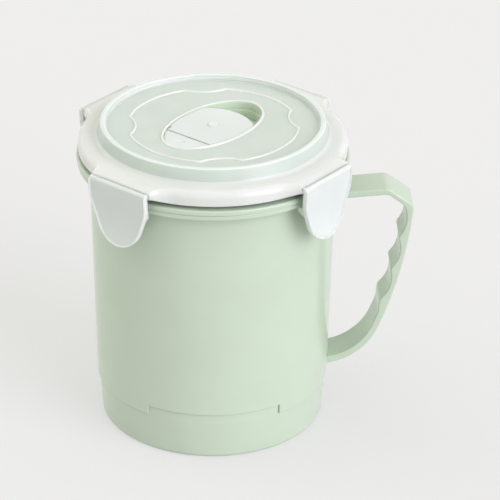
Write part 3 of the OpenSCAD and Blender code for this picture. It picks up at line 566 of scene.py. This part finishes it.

# Where each of them shows: the panel ends and the ring begins at one radius, and a ring face that is steeper
# than the slope is its wall. The ring's wall gets the thin wall's greener, darker tone as painted shade, and
# its crest gets the flap's white. The sunk faces of the well get the pocket's painted see-through green and
# shade.
PANEL_EDGE, PANEL_SKIN, WELL_MARGIN, WELL_DEPTH = 44, 0.05, 1.01, 0.3
RING_REACH, RING_FOOT_HEIGHT, RING_SLOPE, RING_UPRIGHT = 48.6, 0.6, 0.6, 0.05
lid_finishes = (natural, natural_flap, natural_thin_painted_green_and_shade, natural_pocket_painted_green_and_shade)
for face in lid_shape.faces:
    middle = face.calc_center_median()
    away = middle.xy.length
    along = Matrix.Rotation(radians(-VENT_TURN), 3, "Z") @ middle
    in_oval = (along.x / WELL_LENGTH) ** 2 + (along.y / WELL_WIDTH) ** 2 < WELL_MARGIN
    on_panel = away < PANEL_EDGE and middle.z < PANEL_TOP + PANEL_SKIN
    on_ring = (PANEL_EDGE < away < RING_REACH and middle.z > SHOULDER_TOP + RING_FOOT_HEIGHT
               and face.normal.z > RING_UPRIGHT)
    finish = natural
    # The sunk faces of the finger pocket: painted see-through green and shade.
    if in_oval and middle.z < PANEL_TOP - WELL_DEPTH:
        finish = natural_pocket_painted_green_and_shade
    # The panel, thin and partly painted green, and the ring's wall, painted shade in the thin wall's tone.
    elif on_panel or on_ring and face.normal.z < RING_SLOPE:
        finish = natural_thin_painted_green_and_shade
    elif on_ring:
        finish = natural_flap
    face.material_index = lid_finishes.index(finish)
lid = finish_piece("lid_shell", lid_shape, *lid_finishes)
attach(lid, "lid")
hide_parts("lid")


# Clips: four flaps of the same natural polypropylene on rounded hinge edges along the lugs. Each has
# a bead along its edge, flares out at its rounded end for a fingertip, and has a hook behind it that
# catches under the rim band.
CLIP_HALF_WIDTH, CLIP_LENGTH, CLIP_STRAIGHT, CLIP_END_RADIUS, CLIP_HEAD = 14.9, 26, 8, 11.5, 3
CLIP_FACE, CLIP_WALL, CLIP_LEAN, CLIP_CUTS = 60.77, 1.77, 3.5, 17
CLIP_SIDE_ROUNDING, CLIP_SIDE_STEPS, CLIP_END_STEPS = 2, 4, 40
FLARE_START, FLARE_RADIUS = 14, 44
BEAD_HEIGHT, BEAD_WIDTH, BEAD_SLOPE, BEAD_ROUNDING, BEAD_CRISP = 0.63, 0.5, 0.4, 0.3, 70
HINGE_EDGE, HINGE_ROUNDING, HINGE_STEPS = 1.3, 0.35, 40
HOOK_HALF_WIDTH, HOOK_TIP, HOOK_TIP_LOW, HOOK_TOP, HOOK_LOW = 11.2, 53.8, 113.9, 116.1, 111.3
HOOK_ROOT_TOP, HOOK_ROOT_LOW = 58.9, 58.7


def clip_face(drop):
    """How far out a clip's face lies at the given drop below its hinge line."""
    straight = FLARE_START * cos(radians(CLIP_LEAN))
    if drop <= straight:
        return CLIP_FACE - max(drop, 0) * tan(radians(CLIP_LEAN))
    centre = (CLIP_FACE - FLARE_START * sin(radians(CLIP_LEAN))
              + FLARE_RADIUS * cos(radians(CLIP_LEAN)))
    level = straight + FLARE_RADIUS * sin(radians(CLIP_LEAN))
    return centre - sqrt(FLARE_RADIUS ** 2 - (drop - level) ** 2)


def trim(bm, place, away):
    """Cuts a closed shape straight across at a place, drops the side that away points to and closes it."""
    cut = bmesh.ops.bisect_plane(bm, geom=bm.verts[:] + bm.edges[:] + bm.faces[:], plane_co=place,
                                 plane_no=away, clear_outer=True)
    cut_edges = [e for e in cut["geom_cut"] if isinstance(e, bmesh.types.BMEdge)]
    bmesh.ops.contextual_create(bm, geom=cut_edges)
    bmesh.ops.recalc_face_normals(bm, faces=bm.faces)


clip_shape = bmesh.new()
end_centre = Vector((0, 0, CLIP_END_RADIUS - CLIP_LENGTH))
side_end = Vector((CLIP_HALF_WIDTH, 0, -CLIP_STRAIGHT))
towards = degrees(atan2(side_end.z - end_centre.z, side_end.x))
tangent = towards - degrees(acos(CLIP_END_RADIUS / (side_end - end_centre).length))
top_left = clip_shape.verts.new((-CLIP_HALF_WIDTH, 0, CLIP_HEAD))
left = carry_to(clip_shape, top_left, -CLIP_HALF_WIDTH, -CLIP_STRAIGHT)
start = end_centre + polar(CLIP_END_RADIUS, 180 - tangent)
end_start = carry_to(clip_shape, left, start.x, start.z)
end_stop = carry_round(clip_shape, end_start, end_centre, 180 + 2 * tangent, CLIP_END_STEPS)
right = carry_to(clip_shape, end_stop, CLIP_HALF_WIDTH, -CLIP_STRAIGHT)
top_right = carry_to(clip_shape, right, CLIP_HALF_WIDTH, CLIP_HEAD)
clip_shape.edges.new((top_right, top_left))
for vert in (left, right):
    round_off(clip_shape, [vert], CLIP_SIDE_ROUNDING, CLIP_SIDE_STEPS, "VERTICES")
front = bmesh.ops.contextual_create(clip_shape, geom=clip_shape.edges[:])["faces"]
draw_out(clip_shape, front, (0, CLIP_WALL + BEAD_HEIGHT, 0))
bmesh.ops.recalc_face_normals(clip_shape, faces=clip_shape.faces)
front = [f for f in clip_shape.faces if f.normal.y < -FACING]
bmesh.ops.inset_region(clip_shape, faces=front, thickness=BEAD_WIDTH, use_even_offset=True)
bmesh.ops.inset_region(clip_shape, faces=front, thickness=BEAD_SLOPE, depth=-BEAD_HEIGHT,
                       use_even_offset=True)
rim_edges = [e for e in clip_shape.edges if e.is_manifold and e.calc_face_angle() > radians(BEAD_CRISP)]
round_off(clip_shape, rim_edges, BEAD_ROUNDING, EDGE_STEPS)
trim(clip_shape, (0, 0, 0), (0, 0, 1))
for i in range(1, CLIP_CUTS):
    bmesh.ops.bisect_plane(clip_shape, geom=clip_shape.verts[:] + clip_shape.edges[:] + clip_shape.faces[:],
                           plane_co=(0, 0, -CLIP_LENGTH * i / CLIP_CUTS), plane_no=(0, 0, 1), dist=CUT_SNAP)
for vert in clip_shape.verts:
    across, depth, height = vert.co
    vert.co = (clip_face(-height) + BEAD_HEIGHT - depth, across, HINGE_HEIGHT + height)

hinge_shape = bmesh.new()
bmesh.ops.create_cone(hinge_shape, cap_ends=True, segments=HINGE_STEPS, radius1=HINGE_EDGE,
                      radius2=HINGE_EDGE, depth=2 * CLIP_HALF_WIDTH)
rim_edges = [e for e in hinge_shape.edges if any(len(f.verts) > 4 for f in e.link_faces)]
round_off(hinge_shape, rim_edges, HINGE_ROUNDING, EDGE_STEPS)
turn(hinge_shape, hinge_shape.verts, 90, "X")
bmesh.ops.translate(hinge_shape, verts=hinge_shape.verts, vec=(HINGE_RADIUS, 0, HINGE_HEIGHT))
clip_shape = combine(clip_shape, hinge_shape, "UNION")

hook_shape = draw_section([(HOOK_TIP, HOOK_TIP_LOW, 0.3), (HOOK_TIP, HOOK_TOP, 0.6),
                           (HOOK_ROOT_TOP, HOOK_TOP, 0), (HOOK_ROOT_LOW, HOOK_LOW, 0)], closed=True)
hook_face = bmesh.ops.contextual_create(hook_shape, geom=hook_shape.edges[:])["faces"]
bmesh.ops.translate(hook_shape, vec=(0, -HOOK_HALF_WIDTH, 0), verts=hook_shape.verts)
draw_out(hook_shape, hook_face, (0, 2 * HOOK_HALF_WIDTH, 0))
clip_shape = combine(clip_shape, hook_shape, "UNION")
for corner, direction in CLIP_DIRECTIONS.items():
    clip_copy = clip_shape.copy()
    turn(clip_copy, clip_copy.verts, LID_TURN + direction)
    clip = finish_piece("clip_flap_" + corner, clip_copy, natural_flap)
    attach(clip, "clip_" + corner)
    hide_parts("clip_" + corner)
clip_shape.free()


# Vent anchor: the fixed end of the vent insert, held in the oval well by a peg whose end leaves a
# round dimple in its top. Its straight edge is the seat of the flap's fold.
INSERT_LENGTH, INSERT_WIDTH, INSERT_ROUNDING, OVAL_STEPS, BAR_STEPS = 26.1, 14.7, 0.2, 180, 48
ANCHOR_END, ANCHOR_TOP, PEG_PLACE, PEG_RADIUS, PEG_DEPTH = -14.7, 132, -20.8, 1.6, 0.4
FOLD_PLACE, FOLD_HEIGHT, FOLD_RADIUS, FOLD_CLEARANCE, FOLD_CUT = -14.4, 131.65, 0.84, 0.08, 40


def oval_slab(low, high):
    """The insert's oval as a flat slab between two heights."""
    bm = bmesh.new()
    made = bmesh.ops.create_circle(bm, segments=OVAL_STEPS, radius=1, cap_ends=True)["verts"]
    bmesh.ops.scale(bm, vec=(INSERT_LENGTH, INSERT_WIDTH, 1), verts=made)
    bmesh.ops.translate(bm, vec=(0, 0, low), verts=made)
    draw_out(bm, bm.faces[:], (0, 0, high - low))
    bmesh.ops.recalc_face_normals(bm, faces=bm.faces)
    return bm


def round_bar(radius, length, place, along, steps=BAR_STEPS):
    """A round bar centred at a place, along the Y or the Z axis."""
    bm = bmesh.new()
    bmesh.ops.create_cone(bm, cap_ends=True, segments=steps, radius1=radius, radius2=radius, depth=length)
    if along == "Y":
        turn(bm, bm.verts, 90, "X")
    bmesh.ops.translate(bm, vec=place, verts=bm.verts)
    return bm


def soften(bm):
    """Rounds every crisp edge of the insert a little."""
    crisp = [e for e in bm.edges if e.is_manifold and e.calc_face_angle() > radians(CRISP_ANGLE)]
    round_off(bm, crisp, INSERT_ROUNDING, EDGE_STEPS)


anchor_shape = oval_slab(WELL_FLOOR, ANCHOR_TOP)
trim(anchor_shape, (ANCHOR_END, 0, 0), (1, 0, 0))
fold_seat = round_bar(FOLD_RADIUS + FOLD_CLEARANCE, FOLD_CUT, (FOLD_PLACE, 0, FOLD_HEIGHT), "Y")
anchor_shape = combine(anchor_shape, fold_seat, "DIFFERENCE")
peg_mark = round_bar(PEG_RADIUS, 2 * PEG_DEPTH, (PEG_PLACE, 0, ANCHOR_TOP), "Z")
anchor_shape = combine(anchor_shape, peg_mark, "DIFFERENCE")
soften(anchor_shape)
turn(anchor_shape, anchor_shape.verts, VENT_TURN)
anchor = finish_piece("vent_insert_fixed_end", anchor_shape, natural_flap)
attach(anchor, "lid")
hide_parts("vent_anchor")


# Vent flap: the lifting part of the insert, a thin plate with a rounded free end over the finger
# pocket and a rounded fold edge that turns in the anchor's seat. Reliefs beside the fold edge keep
# its corners clear of the well.
FLAP_UNDER, FLAP_TOP, FLAP_REACH, FLAP_END_RADIUS, FLAP_CUT = 130.9, 132.4, 15.2, 20, 20
RELIEF_LENGTH, RELIEF_WIDTH, RELIEF_CUT = 2, 0.5, 5
flap_shape = oval_slab(FLAP_UNDER, FLAP_TOP)
trim(flap_shape, (FOLD_PLACE, 0, 0), (-1, 0, 0))
flap_end = round_bar(FLAP_END_RADIUS, FLAP_CUT, (FLAP_REACH - FLAP_END_RADIUS, 0, FLAP_TOP), "Z",
                     OVAL_STEPS)
flap_shape = combine(flap_shape, flap_end, "INTERSECT")
fold_half = INSERT_WIDTH * sqrt(1 - (FOLD_PLACE / INSERT_LENGTH) ** 2) - RELIEF_WIDTH
for side in (-1, 1):
    relief = bmesh.new()
    bmesh.ops.create_cube(relief, size=2)
    bmesh.ops.scale(relief, vec=(RELIEF_LENGTH, INSERT_WIDTH, RELIEF_CUT), verts=relief.verts)
    beside = (FOLD_PLACE, side * (fold_half + INSERT_WIDTH), FLAP_TOP)
    bmesh.ops.translate(relief, vec=beside, verts=relief.verts)
    flap_shape = combine(flap_shape, relief, "DIFFERENCE")
soften(flap_shape)
fold_edge = round_bar(FOLD_RADIUS, 2 * fold_half, (FOLD_PLACE, 0, FOLD_HEIGHT), "Y")
flap_shape = combine(flap_shape, fold_edge, "UNION")
turn(flap_shape, flap_shape.verts, VENT_TURN)
flap = finish_piece("vent_insert_flap", flap_shape, natural_flap)
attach(flap, "vent_flap")
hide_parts("vent_flap")


# Vent plug: the soft stopper on the flap. Its stem goes up through the flap to a small dished button,
# and its nub goes down into the steam hole.
NUB_RADIUS, NUB_UNDER, STOPPER_RADIUS, STOPPER_UNDER, STEM_RADIUS = 2.1, 127.6, 5.6, 129, 1.5
BUTTON_FOOT, BUTTON_RADIUS, BUTTON_TOP = 2.3, 2.2, 132.7
DISH_RADIUS, DISH_FLOOR_RADIUS, DISH_FLOOR, PLUG_STEPS = 1.3, 1, 132.55, 96
plug_shape = draw_section([
    (0, NUB_UNDER, 0), (NUB_RADIUS, NUB_UNDER, 0.5), (NUB_RADIUS, STOPPER_UNDER, 0.2),
    (STOPPER_RADIUS, STOPPER_UNDER, 0.4), (STOPPER_RADIUS, FLAP_UNDER, 0.3), (STEM_RADIUS, FLAP_UNDER, 0),
    (STEM_RADIUS, FLAP_TOP, 0), (BUTTON_FOOT, FLAP_TOP, 0), (BUTTON_RADIUS, BUTTON_TOP, 0.2),
    (DISH_RADIUS, BUTTON_TOP, 0.1), (DISH_FLOOR_RADIUS, DISH_FLOOR, 0.1), (0, DISH_FLOOR, 0)], closed=False)
lathe(plug_shape, PLUG_STEPS)
plug = finish_piece("vent_stopper", plug_shape, silicone)
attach(plug, "vent_flap")
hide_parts("vent_plug")


# Studio: a pale paper floor and backdrop that keep a light shadow, a sky that is brighter overhead,
# a key softbox from the front right, a card that fills in from the left, and the camera.
FLOOR_HALF, FLOOR_CELLS, PAPER_CLOUD, BARE_SHARE = 2000, 8, 0.3, 0.5
SKY_COLOUR, SKY_LOW, SKY_HIGH = (1, 0.985, 0.92, 1), 0.33, 1.05


def plain_view(owner):
    """1 for what the camera sees, straight, mirrored or through a clear wall, and 0 for other light."""
    ray = add_node(owner, "ShaderNodeLightPath", {})
    seen = add_node(owner, "ShaderNodeMath", {"operation": "MAXIMUM"},
                    [(0, ray, "Is Camera Ray"), (1, ray, "Is Glossy Ray")])
    return add_node(owner, "ShaderNodeMath", {"operation": "MAXIMUM"},
                    [(0, seen, 0), (1, ray, "Is Transmission Ray")])


floor_shape = bmesh.new()
bmesh.ops.create_grid(floor_shape, x_segments=FLOOR_CELLS, y_segments=FLOOR_CELLS, size=FLOOR_HALF)

# Matt paper, pale: an even sheet with a hardly visible cloud 300 mm across. Half of what is seen of it
# is its bare tone and half is lit, so that it stays pale and keeps a light shadow.
paper = bpy.data.materials.new("pale_paper")
paper.use_nodes = True
paper.node_tree.nodes.clear()
place = add_node(paper, "ShaderNodeTexCoord", {})
fibre = add_node(paper, "ShaderNodeTexNoise", {"Scale": 1 / PAPER_CLOUD, "Detail": 2},
                 [("Vector", place, "Object")])
tint = add_node(paper, "ShaderNodeValToRGB", {}, [("Fac", fibre, "Fac")])
tint.color_ramp.elements[0].color = linear("#d3d3d2")
tint.color_ramp.elements[1].color = linear("#d5d5d4")
shaded = add_node(paper, "ShaderNodeBsdfDiffuse", {}, [("Color", tint, "Color")])
bare = add_node(paper, "ShaderNodeEmission", {"Color": linear("#fafafa"), "Strength": 1})
share = add_node(paper, "ShaderNodeMapRange", {"To Max": BARE_SHARE}, [("Value", plain_view(paper), 0)])
surface = add_node(paper, "ShaderNodeMixShader", {}, [(0, share, 0), (1, shaded, 0), (2, bare, 0)])
add_node(paper, "ShaderNodeOutputMaterial", {}, [("Surface", surface, 0)])
floor = finish_piece("paper_floor", floor_shape, paper)

sky = bpy.data.worlds.new("studio_sky")
bpy.context.scene.world = sky
sky.use_nodes = True
sky.node_tree.nodes.clear()
place = add_node(sky, "ShaderNodeTexCoord", {})
upward = add_node(sky, "ShaderNodeSeparateXYZ", {}, [("Vector", place, "Generated")])
level = add_node(sky, "ShaderNodeMapRange", {"To Min": SKY_LOW, "To Max": SKY_HIGH},
                 [("Value", upward, "Z")])
glow = add_node(sky, "ShaderNodeBackground", {"Color": SKY_COLOUR}, [("Strength", level, "Result")])
backdrop = add_node(sky, "ShaderNodeBackground", {"Color": linear("#eeeeee"), "Strength": 1})
surface = add_node(sky, "ShaderNodeMixShader", {},
                   [(0, plain_view(sky), 0), (1, glow, 0), (2, backdrop, 0)])
add_node(sky, "ShaderNodeOutputWorld", {}, [("Surface", surface, 0)])

# Each lamp's name, direction round the mug and height in degrees, strength, colour and spread.
for lamp, direction, height, energy, colour, spread in (
        ("key_softbox", -42, 24, 2.13, (0.908, 0.894, 1), 45),
        ("fill_card", 158, 25, 0.8, (1, 0.99, 0.96), 70)):
    light = bpy.data.lights.new(lamp, "SUN")
    light.energy = energy
    light.color = colour
    light.angle = radians(spread)
    lamp_object = bpy.data.objects.new(lamp, light)
    flat = cos(radians(height))
    towards_lamp = Vector((flat * cos(radians(direction)), flat * sin(radians(direction)),
                           sin(radians(height))))
    lamp_object.rotation_euler = towards_lamp.to_track_quat("Z", "Y").to_euler()
    bpy.context.scene.collection.objects.link(lamp_object)

CAMERA_PLACE = Vector((-0.01755, -1.06038, 0.6355))
CAMERA_TARGET = Vector((0.01576, -0.0005, 0.07376))
CAMERA_ROLL, CAMERA_FOCAL_PIXELS, IMAGE_PIXELS = 0.57, 2833.86, 500
camera = bpy.data.cameras.new("camera")
camera.angle = 2 * atan2(IMAGE_PIXELS / 2, CAMERA_FOCAL_PIXELS)
viewer = bpy.data.objects.new("camera", camera)
look = (CAMERA_TARGET - CAMERA_PLACE).to_track_quat("-Z", "Y").to_matrix()
viewer.matrix_world = (Matrix.Translation(CAMERA_PLACE)
                       @ (look @ Matrix.Rotation(radians(CAMERA_ROLL), 3, "Z")).to_4x4())
bpy.context.scene.collection.objects.link(viewer)
bpy.context.scene.camera = viewer
bpy.context.scene.view_settings.view_transform = "Standard"
